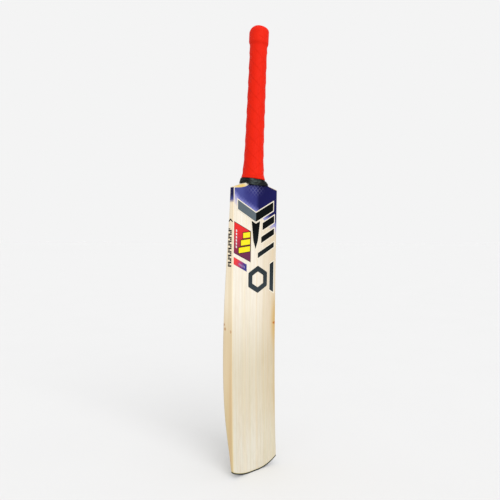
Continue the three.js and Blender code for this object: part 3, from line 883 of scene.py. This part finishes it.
def cut_away(bm, point, outward):
    """Removes what lies beyond a plane and closes the cut."""
    everything = bm.verts[:] + bm.edges[:] + bm.faces[:]
    bmesh.ops.bisect_plane(
        bm, geom=everything, dist=1e-7, plane_co=Vector(point) * MM, plane_no=outward, clear_outer=True)
    rims = [e for e in bm.edges if e.is_boundary]
    if rims:
        bmesh.ops.holes_fill(bm, edges=rims, sides=0)


def cane_piece(name, blank, spans, material):
    """A length of the handle blank between two planes across it and two behind each other."""
    bm = bmesh.new()
    bm.from_mesh(blank)
    behind = Vector((0, 1, LEAN)).normalized()
    on_axis = Vector((0, AXIS_Y, AXIS_Z))
    for (low, high), start, outward in zip(spans, (Vector(), on_axis), (Vector((1, 0, 0)), behind)):
        if low is not None:
            cut_away(bm, start + outward * low, -outward)
        if high is not None:
            cut_away(bm, start + outward * high, outward)
    bmesh.ops.recalc_face_normals(bm, faces=bm.faces)
    mesh = bpy.data.meshes.new(name)
    bm.to_mesh(mesh)
    bm.free()
    return finished_object(name, mesh, [material], smooth=28)


def build_cane():
    blank = cane_blank()
    half = SPRING_THICKNESS / 2
    starts = [None] + [y + half + GAP for y in SPRING_OFFSETS]
    ends = [y - half - GAP for y in SPRING_OFFSETS] + [None]
    columns = {
        "left": (None, -SLIP_SPLIT_X - GAP / 2),
        "middle": (-SLIP_SPLIT_X + GAP / 2, SLIP_SPLIT_X - GAP / 2),
        "right": (SLIP_SPLIT_X + GAP / 2, None),
    }
    for k, layer in enumerate(("front", "front_inner", "back_inner", "back")):
        for side, across in columns.items():
            slip = cane_piece(f"slip_{layer}_{side}", blank, (across, (starts[k], ends[k])), CANE)
            settle(slip, "cane", f"cane_{layer}_{side}")
    for y, name in zip(SPRING_OFFSETS, ("front", "middle", "back")):
        spring = cane_piece(f"spring_{name}", blank, ((None, None), (y - half, y + half)), SPRING)
        settle(spring, "spring_rubber", f"rubber_spring_{name}")
    bpy.data.meshes.remove(blank)


# ---- Sleeves over the handle ----

BINDING_OUTER = GAP + BINDING_THICKNESS
GRIP_INNER = BINDING_OUTER + GAP
TWINE_PITCH = 1.6
TWINE_GROOVE = 0.45


def handle_ring(z, offset, sides):
    """A ring round the handle; offset may be a number or a function of the angle."""
    section = handle_section(z)
    stand_off = offset if callable(offset) else lambda angle: offset
    return [around(section, angle, stand_off(angle), z) for angle in turns(sides)]


def build_sleeve(name, rings, material, slot, node):
    """A closed sleeve from rings that run up its outside and back down its inside."""
    sleeve = mesh_object(name, joined(rings), skin(rings, closed=True), [material])
    settle(sleeve, slot, node)


def build_binding():
    """Twine wound round the cane, one turn lying against the next."""
    low, high = GRIP_BOTTOM_Z + 0.5, CANE_TOP_Z - 5
    rings = []
    for z in levels(low, high, int((high - low) / TWINE_PITCH * 4)):
        def wound(angle, z=z):
            turn = math.pi * (z / TWINE_PITCH - angle / (2 * math.pi))
            return BINDING_OUTER - TWINE_GROOVE * (1 - abs(math.sin(turn)))
        rings.append(handle_ring(z, wound, 40))
    rings += [handle_ring(z, GAP / 2, 40) for z in levels(high, low, 24)]
    build_sleeve("handle_twine", rings, TWINE, "twine", "handle_binding")


GRIP_SIDES = 168
SCALE_LENGTH = 27.4
SCALES_AROUND = 4
SCALE_STEP = 1.1
SCALE_LIP = 0.1
BAND_MIDDLE_Z = OVERALL_LENGTH - 34
BAND_SLANT = 0.12
RIM_SLANT = 0.085
RIM_FLARE = 2.4
CROWN_PEAK = 1.1
CROWN_SHIFT = 0.8
VIEW_ACROSS = Vector((0.775, -0.632))
RIGHT_FLANK = (2, 15)
FOLD_LINES = (((1.5, 826), (6.5, 823.5)), ((6.5, 823.5), (4, 817)))


def across_view(point):
    """How far to the right of the handle's axis a point lies, seen from the front left."""
    return VIEW_ACROSS.x * point.x + VIEW_ACROSS.y * (point.y - axis_y(point.z))


def scale_height(share):
    """Across one moulded scale, from its free lower edge at 0 to where the next one covers it."""
    return smoothstep(share, 0, SCALE_LIP) * (1 - share)


def grip_relief(angle, z):
    """Moulded scales in a diamond lattice, each lapping over the one below it."""
    along = (z - GRIP_BOTTOM_Z) / SCALE_LENGTH
    round_it = (angle / (2 * math.pi)) * SCALES_AROUND
    left, right = along + round_it, along - round_it
    height = scale_height(left - math.floor(left)) + scale_height(right - math.floor(right))
    strength = smoothstep(z, GRIP_BOTTOM_Z + 5, GRIP_BOTTOM_Z + 11)
    strength *= 1 - smoothstep(z, BAND_MIDDLE_Z - 14, BAND_MIDDLE_Z - 8)
    return strength * SCALE_STEP * (height / 2 - 0.5)


def fold_depth(side, z):
    """Two short creases that meet where the thick band is folded."""
    deepest = 0
    for start, end in FOLD_LINES:
        a, b, p = Vector(start), Vector(end), Vector((side, z))
        t = min(max((p - a).dot(b - a) / (b - a).length_squared, 0), 1)
        deepest = max(deepest, math.exp(-(((p - a.lerp(b, t)).length / 0.8) ** 2)))
    return 0.6 * deepest


def grip_skin(side, z):
    """The grip's stand-off: a thin sleeve with a thick, slanting band at its top."""
    band = smoothstep(z + BAND_SLANT * side, BAND_MIDDLE_Z - 4, BAND_MIDDLE_Z + 4)
    rim = 0.4 * (1 - smoothstep(abs(z - GRIP_BOTTOM_Z - 1.6), 0.8, 2))
    rim += RIM_FLARE * smoothstep(side, *RIGHT_FLANK) * (1 - smoothstep(z, GRIP_BOTTOM_Z, GRIP_BOTTOM_Z + 9))
    return GRIP_INNER + GRIP_THICKNESS + GRIP_BAND_SWELL * band + rim


def slant_rim(ring, strength):
    """Lets the ring drop to the right, as the grip's bottom rim does."""
    for point in ring:
        point.z -= RIM_SLANT * strength * across_view(point)
    return ring


def rim_share(z):
    """1 at the grip's bottom rim and 0 where its slant has died out."""
    return 1 - smoothstep(z, GRIP_BOTTOM_Z, GRIP_BOTTOM_Z + 14)


def grip_ring(z):
    section = handle_section(z)
    ring = []
    for angle in turns(GRIP_SIDES):
        side = across_view(around(section, angle, GRIP_INNER, z))
        stand_off = grip_skin(side, z) + grip_relief(angle, z) - fold_depth(side, z)
        ring.append(around(section, angle, stand_off, z))
    return slant_rim(ring, rim_share(z))


def crown_ring(turn, mouth):
    """A ring of the dome over the handle's end. The dome tilts more than the handle."""
    crown_z = GRIP_TOP_Z - GRIP_CROWN
    z = crown_z + GRIP_CROWN * math.sin(turn)
    section = handle_section(z)
    section["tilt"] += CROWN_TILT * math.sin(turn)
    offset = lerp(mouth, grip_skin(0, crown_z), math.cos(turn))
    ring = [around(section, angle, offset, z) for angle in turns(GRIP_SIDES)]
    for point in ring:
        side = across_view(point)
        point.z += CROWN_PEAK * math.sin(turn) ** 2 * math.exp(-(((side + 2) / 12) ** 2))
        point += CROWN_SHIFT * math.sin(2 * turn) * VIEW_ACROSS.to_3d()
    return ring


def build_grip():
    mouth = GRIP_MOUTH_RADIUS - CANE_RADIUS
    rings = [slant_rim(handle_ring(GRIP_BOTTOM_Z, GRIP_INNER + GRIP_THICKNESS * 0.5, GRIP_SIDES), 1)]
    rings += [grip_ring(z) for z in levels(GRIP_BOTTOM_Z + 0.5, GRIP_TOP_Z - GRIP_CROWN, 360)]
    rings += [crown_ring(math.radians(degrees), mouth) for degrees in range(6, 91, 6)]
    lip_z = CANE_TOP_Z + GAP
    lips = ((GRIP_TOP_Z - 1.5, mouth - 0.4), (lip_z + 0.5, mouth - 0.4), (lip_z, mouth), (lip_z, GAP))
    rings += [handle_ring(z, offset, GRIP_SIDES) for z, offset in lips]
    for z in levels(CANE_TOP_Z - 4, GRIP_BOTTOM_Z, 40):
        rings.append(slant_rim(handle_ring(z, GRIP_INNER, GRIP_SIDES), rim_share(z)))
    build_sleeve("rubber_grip", rings, GRIP, "grip_rubber", "grip")


TAPE_SIDES = 180
TAPE_TURN = 7.5
TAPE_LIFT = 3.8
TAPE_FLARE = 1.7
TAPE_TIGHTER = 1.3
TAPE_RAISED_SIDE = (3, 15)


def tape_relief(angle, z, point):
    """Overlapping turns and the wrinkles of tape pulled round a flaring neck."""
    turn = z / TAPE_TURN - angle / (2 * math.pi)
    step = turn - math.floor(turn)
    lap = 0.5 * (1 - smoothstep(step, 0, 0.12)) + 0.2 * step
    wrinkle = noise.noise(Vector((point.x * 0.16, point.y * 0.16, point.z * 0.55)))
    fold = noise.noise(Vector((point.x * 0.4 + point.z * 0.3, point.y * 0.4, point.z * 0.5 + 9)))
    return lap + 0.6 * wrinkle + 0.35 * abs(fold)


def tape_height(section, angle, share, top):
    """The height of a point of the tape, which is drawn up on its left where the wood shows."""
    bare = around(section, angle, 0, TAPE_BOTTOM_Z)
    lift = TAPE_LIFT * smoothstep(-across_view(bare), *TAPE_RAISED_SIDE)
    return lerp(TAPE_BOTTOM_Z + lift, top, share)


def tape_point(angle, share, foot, top):
    """A point of the tape's outside, share of the way up from its foot to its top."""
    z = tape_height(foot, angle, share, top)
    section = collar_section(z)
    bare = around(section, angle, 0, z)
    side = across_view(bare)
    relief = tape_relief(angle, z, bare)
    relief += TAPE_FLARE * smoothstep(side, *RIGHT_FLANK) * math.sin(math.pi * share) ** 0.7
    relief -= TAPE_TIGHTER * smoothstep(-side, 6, 16) * (1 - share)
    curl = 4 * (1 - smoothstep(share, 0, 0.12)) ** 2
    tuck = 0.9 * smoothstep(share, 0.94, 1)
    return around(section, angle, GAP + TAPE_THICKNESS + 0.4 + relief - curl - tuck, z)


def build_collar_tape():
    top = GRIP_BOTTOM_Z - 0.1
    foot = collar_section(TAPE_BOTTOM_Z)
    rings = []
    for share in levels(0, 1, 46):
        rings.append(slant_rim([tape_point(angle, share, foot, top) for angle in turns(TAPE_SIDES)], share))
    for z in levels(top, TAPE_BOTTOM_Z + TAPE_LIFT, 5):
        share = (z - TAPE_BOTTOM_Z) / (top - TAPE_BOTTOM_Z)
        rings.append(slant_rim(handle_ring(z, GAP, TAPE_SIDES), share))
    build_sleeve("neck_tape", rings, TAPE, "collar_tape", "collar_tape")


# ---- Stickers ----

FILM = 0.1
LAYER_STEP = 0.14
FILM_GAP = 0.03


def corners(points):
    """Each corner of an outline between the one before and the one after it."""
    ring = [Vector(p) for p in points]
    return zip(ring[-1:] + ring[:-1], ring, ring[1:] + ring[:1])


def rounded(points, radius, steps=4):
    """The outline with its corners rounded."""
    result = []
    for previous, here, following in corners(points):
        before, after = previous - here, following - here
        cut = min(radius, before.length * 0.45, after.length * 0.45)
        start = here + before.normalized() * cut
        end = here + after.normalized() * cut
        for t in levels(0, 1, steps):
            result.append(start * (1 - t) ** 2 + here * 2 * t * (1 - t) + end * t * t)
    return result


def widened(points, margin):
    """The outline moved outwards by margin, with its corners kept. Points run anticlockwise."""
    result = []
    for previous, here, following in corners(points):
        into, onwards = (here - previous).normalized(), (following - here).normalized()
        normal = Vector((into.y, -into.x))
        mitre = (normal + Vector((onwards.y, -onwards.x))).normalized()
        result.append(here + mitre * margin / max(mitre.dot(normal), 0.35))
    return result


def film(outline, place, cells, hole=None):
    """A thin film cut to an outline and laid on a surface. Returns its points and faces.

    place(u, v, lift) gives the point of the bat at u, v of the outline, lift off the wood.
    cells are the sizes of the squares that it is divided into, so that it can bend.
    """
    bm = bmesh.new()
    loops = [outline] + ([hole] if hole else [])
    edges = []
    for loop in loops:
        verts = [bm.verts.new((p[0], p[1], 0)) for p in loop]
        edges += [bm.edges.new(pair) for pair in zip(verts, verts[1:] + verts[:1])]
    bmesh.ops.triangle_fill(bm, edges=edges, use_beauty=True, use_dissolve=False)
    for axis, cell in enumerate(cells):
        values = [p[axis] for p in outline]
        normal = Vector((1, 0, 0)) if axis == 0 else Vector((0, 1, 0))
        for k in range(math.ceil(min(values) / cell), math.ceil(max(values) / cell)):
            everything = bm.verts[:] + bm.edges[:] + bm.faces[:]
            line = normal * k * cell
            bmesh.ops.bisect_plane(bm, geom=everything, dist=1e-5, plane_co=line, plane_no=normal)
    bmesh.ops.remove_doubles(bm, verts=bm.verts, dist=1e-4)
    for face in bm.faces:
        if face.normal.z < 0:
            face.normal_flip()
    bm.verts.index_update()
    flat = [(v.co.x, v.co.y) for v in bm.verts]
    top = [place(u, v, FILM) for u, v in flat]
    under = [place(u, v, 0) for u, v in flat]
    faces = [tuple(v.index for v in f.verts) for f in bm.faces]
    count = len(flat)
    faces += [tuple(i + count for i in reversed(f)) for f in faces[:]]
    for edge in bm.edges:
        if edge.is_boundary:
            loop = edge.link_loops[0]
            a, b = loop.vert.index, loop.link_loop_next.vert.index
            faces.append((b, a, a + count, b + count))
    bm.free()
    return top + under, faces


def on_face(layer):
    """Lays a film on the hitting face, in front of it by so many layers."""
    def place(u, v, lift):
        over = max(abs(u) - FACE_SIDE, 0)
        fall = FACE_EDGE_RADIUS - math.sqrt(FACE_EDGE_RADIUS ** 2 - over ** 2)
        return Vector((u, face_y(v) + fall - FILM_GAP - layer * LAYER_STEP - lift, v))
    return place


def on_edge(side):
    """Wraps a film round the blade's left or right edge. u is the distance behind the face."""
    def place(u, v, lift):
        edge = edge_depth(v)
        front = u < FACE_EDGE_RADIUS
        radius = FACE_EDGE_RADIUS if front else back_radius(edge)
        past = u - FACE_EDGE_RADIUS if front else max(u - edge + radius, 0)
        turn = math.asin(min(max(past / radius, -1), 1))
        off = lift + FILM_GAP
        x = HALF_WIDTH - radius * (1 - math.cos(turn)) + off * math.cos(turn)
        return Vector((side * x, face_y(v) + u + off * math.sin(turn), v))
    return place


def face_film(outline, layer, ink_slot, hole=None):
    return (*film(outline, on_face(layer), FACE_CELLS, hole), ink_slot)


def sticker(name, slot, node, films, materials):
    """One piece from several films: each is (points, faces, slot of its material)."""
    points, faces, slots = [], [], []
    for film_points, film_faces, index in films:
        start = len(points)
        points += film_points
        faces += [tuple(i + start for i in f) for f in film_faces]
        slots += [index] * len(film_faces)
    piece = mesh_object(name, points, faces, materials, slots)
    bm = bmesh.new()
    bm.from_mesh(piece.data)
    bmesh.ops.recalc_face_normals(bm, faces=bm.faces)
    bm.to_mesh(piece.data)
    bm.free()
    settle(piece, slot, node)


FACE_SIDE = HALF_WIDTH - FACE_EDGE_RADIUS
FACE_CELLS = (12, 8)
EDGE_CELLS = (1.2, 8)
FINE_CELLS = (FACE_SIDE / 36, 8)
KEYLINE = 1.9
CHEVRON_Z = 482
SLANT = 0.52
ARMS = ((17, 466, 14), (14, 441, 12), (6, 412, 10))
ARM_END_X = 47


def slanted(left, right, low, thick, slope):
    """A parallelogram with upright sides, its lower left corner at left and low."""
    climb = (right - left) * slope
    return [(left, low), (right, low + climb), (right, low + climb + thick), (left, low + thick)]


def keyed(outline, under=None, corner=1.2):
    """A shape in ink on a slightly larger cream one."""
    under = rounded(under or widened(outline, KEYLINE), corner + 0.6)
    return [face_film(under, 1, 1), face_film(rounded(outline, corner), 2, 0)]


def black_shape(name, node, outline):
    sticker(name, "print_black", node, keyed(outline), [BLACK, CREAM])


def build_chevron():
    """A wide V in two halves that meet on the blade's middle line."""
    half, thick = 44, 17
    rim = KEYLINE * math.hypot(1, SLANT)
    for side, shade, slot in (("left", SLATE, "print_grey"), ("right", BLACK, "print_black")):
        outline = slanted(0, half, CHEVRON_Z, thick, SLANT)
        under = slanted(0, half + KEYLINE, CHEVRON_Z - rim, thick + 2 * rim, SLANT)
        if side == "left":
            outline = [(-x, z) for x, z in outline][::-1]
            under = [(-x, z) for x, z in under][::-1]
        films = keyed(outline, under, 0.4)
        sticker(f"chevron_{side}", slot, f"chevron_sticker_{side}", films, [shade, CREAM])


def build_spear():
    half, waist, tip_z, waist_z = 10.6, 5.8, 430, 446
    notch = CHEVRON_Z - 3.6
    top = notch + half * SLANT
    outline = [(0, tip_z), (waist, waist_z), (half, top), (0, notch), (-half, top), (-waist, waist_z)]
    black_shape("spear", "spear_sticker", outline)


def build_arms_and_tail():
    for k, (start, z, thick) in enumerate(ARMS):
        black_shape(f"arm_{k + 1}", f"arm_sticker_{k + 1}", slanted(start, ARM_END_X, z, thick, SLANT))
    start, low, high = ARM_END_X - 10, 344, 400
    climb = 10 * SLANT
    tail = [(start, low + climb), (ARM_END_X, low), (ARM_END_X, high + climb), (start, high)]
    black_shape("tail", "tail_sticker", tail)


def build_hexagon():
    middle_x, middle_z = 7, 371

    def outline(k):
        wide, high = 23.5 * k, 26.5 * k
        right = [(0, -high), (wide, -high / 2), (wide, high / 2)]
        ring = right + [(-x, -z) for x, z in right]
        return [(middle_x + x, middle_z + z) for x, z in ring]

    films = [face_film(rounded(outline(1), 2), 1, 0, rounded(outline(0.58), 1.5))]
    sticker("hexagon", "print_black", "hexagon_sticker", films, [BLACK])


def build_shoulder():
    """The blue film: its top left runs under the tape in a curve that leaves some wood bare."""
    bare_wood = [(-17, 553), (-22, 550), (-28, 547.4), (-36, 545.6), (-44, 544.7)]
    right = HALF_WIDTH - 0.8
    outline = [
        (-FACE_SIDE, 505), (-18, 503), (12, 494), (32, 475), (right, 451),
        (right, shoulder_at(right) - 0.6), (33, shoulder_at(33) - 0.6), (20, 556), *bare_wood,
        (-FACE_SIDE, 544.2),
    ]
    films = [(*film(rounded(outline, 1), on_face(0), FINE_CELLS), 0)]
    sticker("shoulder_print", "print_blue", "shoulder_sticker", films, [shoulder_print()])
    top = SHOULDER_Z - 0.2
    strip = rounded([(0.6, EDGE_FILM_Z), (14, EDGE_FILM_Z), (14, top), (0.6, top)], 0.6)
    film_ink = edge_print()
    for side, sign in (("left", -1), ("right", 1)):
        films = [(*film(strip, on_edge(sign), EDGE_CELLS), 0)]
        sticker(f"edge_print_{side}", "print_blue", f"edge_shoulder_sticker_{side}", films, [film_ink])


def build_panel():
    """A red panel with a dark outline, three bold stripes and a column of small dashes."""
    wide, high, fall = FACE_SIDE - 11.5, 59, 18.5
    right = wide - FACE_SIDE
    slope = -fall / wide
    red = two_way_ink("red_to_purple_ink", srgb(206, 24, 22), srgb(88, 22, 64), (-45, 474), (-34, 412))
    films = [
        face_film(slanted(-FACE_SIDE, right, 423, high, slope), 0, 1),
        face_film(slanted(-FACE_SIDE + 0.5, right - 1, 423.6, high - 2, slope), 1, 0),
    ]
    for k in range(3):
        left, low = -42 + 5 * k, 421 + 14 * k
        films.append(face_film(slanted(left, right - 1.5, low, 12.5, 0.12), 2, 1))
        films.append(face_film(slanted(left + 1.2, right - 2.5, low + 1.3, 10, 0.12), 3, 2))
    for k in range(6):
        films.append(face_film(slanted(-48, -45.4, 433 + 6 * k, 4, slope), 2, 3))
    sticker("panel_print", "print_red", "panel_sticker", films, [red, BLACK_FLAT, YELLOW, WHITE])


def build_bar():
    """A small bar with five short dashes."""
    wide, high, fall = FACE_SIDE - 21, 13.7, 15.2
    slope = -fall / wide
    blend = two_way_ink("red_to_blue_ink", srgb(206, 46, 46), srgb(42, 38, 116), (-50, 406), (-24, 394))
    films = [face_film(slanted(-FACE_SIDE, wide - FACE_SIDE, 402, high, slope), 0, 0)]
    for k in range(5):
        left = -40 + 3.1 * k
        low = 406 + (left + FACE_SIDE) * slope
        films.append(face_film(slanted(left, left + 1.6, low, 4, slope), 1, 1))
    sticker("bar_print", "print_violet", "bar_sticker", films, [blend, LILAC])


def build_edge_label():
    """Generic marks down the left edge: an arrowhead and a ladder of short bars."""
    low, high = box_mm("edge_label_sticker")
    near, far = 4.6, 15.2
    tip, top = 8.6, high[2] - 3.5
    foot = top - 6.5
    notch = (tip, top - 3.4)
    arrow = [(tip - 7.6, foot), (tip - 4.2, foot), notch, (tip + 4.6, foot), (tip + 8.6, foot), (tip, top)]
    outlines = [arrow]
    for k in range(11):
        base = low[2] + 6.6 * k
        start = near if k % 2 else (near + far) / 2
        outlines += [slanted(near, far, base, 2.8, 0), slanted(start, start + 5, base + 3.7, 2.2, 0)]
    films = [(*film(outline, on_edge(-1), EDGE_CELLS), 0) for outline in outlines]
    sticker("edge_marks", "print_black", "edge_label_sticker", films, [LABEL])


# ---- Studio ----

CAMERA_AT = (-0.6017, -0.7241, 0.4498)
CAMERA_AZIMUTH = math.radians(39.225)
CAMERA_PITCH = math.radians(1.34)
CAMERA_ROLL = math.radians(0.187)
LENS_MM = 35.16
SENSOR_MM = 36
FLOOR_RADIUS = 60
FLOOR_SIDES = 96


def build_camera():
    data = bpy.data.cameras.new("photo_camera")
    data.lens = LENS_MM
    data.sensor_width = SENSOR_MM
    camera = linked("photo_camera", data)
    turn = Matrix.Rotation(-CAMERA_AZIMUTH, 4, "Z") @ Matrix.Rotation(math.pi / 2 - CAMERA_PITCH, 4, "X")
    camera.matrix_world = Matrix.Translation(CAMERA_AT) @ turn @ Matrix.Rotation(CAMERA_ROLL, 4, "Z")
    bpy.context.scene.camera = camera


def build_floor():
    """A wide pale disc under the toe, as bright as the air around it."""
    rings = []
    for radius in (0.2, 1, 4, 15, FLOOR_RADIUS):
        reach = radius / MM
        rings.append([Vector((reach * math.cos(a), reach * math.sin(a), 0)) for a in turns(FLOOR_SIDES)])
    faces = [tuple(reversed(f)) for f in skin(rings)]
    faces.append(tuple(range(FLOOR_SIDES)))
    mesh_object("studio_floor", joined(rings), faces, [studio_floor()])


def build_sun():
    """A soft distant light from the front left of the bat."""
    data = bpy.data.lights.new("key_light", "SUN")
    data.energy = SUN_STRENGTH
    data.angle = math.radians(SUN_SOFTNESS)
    a, e = math.radians(SUN_AZIMUTH), math.radians(SUN_ELEVATION)
    towards = Vector((math.cos(e) * math.sin(a), -math.cos(e) * math.cos(a), math.sin(e)))
    linked("key_light", data).rotation_euler = towards.to_track_quat("Z", "Y").to_euler()


def build_air():
    world = bpy.data.worlds.new("studio_air")
    world.use_nodes = True
    air = world.node_tree.nodes["Background"].inputs
    air["Color"].default_value = (1, 1, 1, 1)
    air["Strength"].default_value = BACKDROP
    bpy.context.scene.world = world
    bpy.context.scene.view_settings.view_transform = "Standard"


build_blade()
build_toe_guard()
build_cane()
build_binding()
build_grip()
build_collar_tape()
build_shoulder()
build_chevron()
build_spear()
build_arms_and_tail()
build_hexagon()
build_panel()
build_bar()
build_edge_label()
build_camera()
build_floor()
build_sun()
build_air()
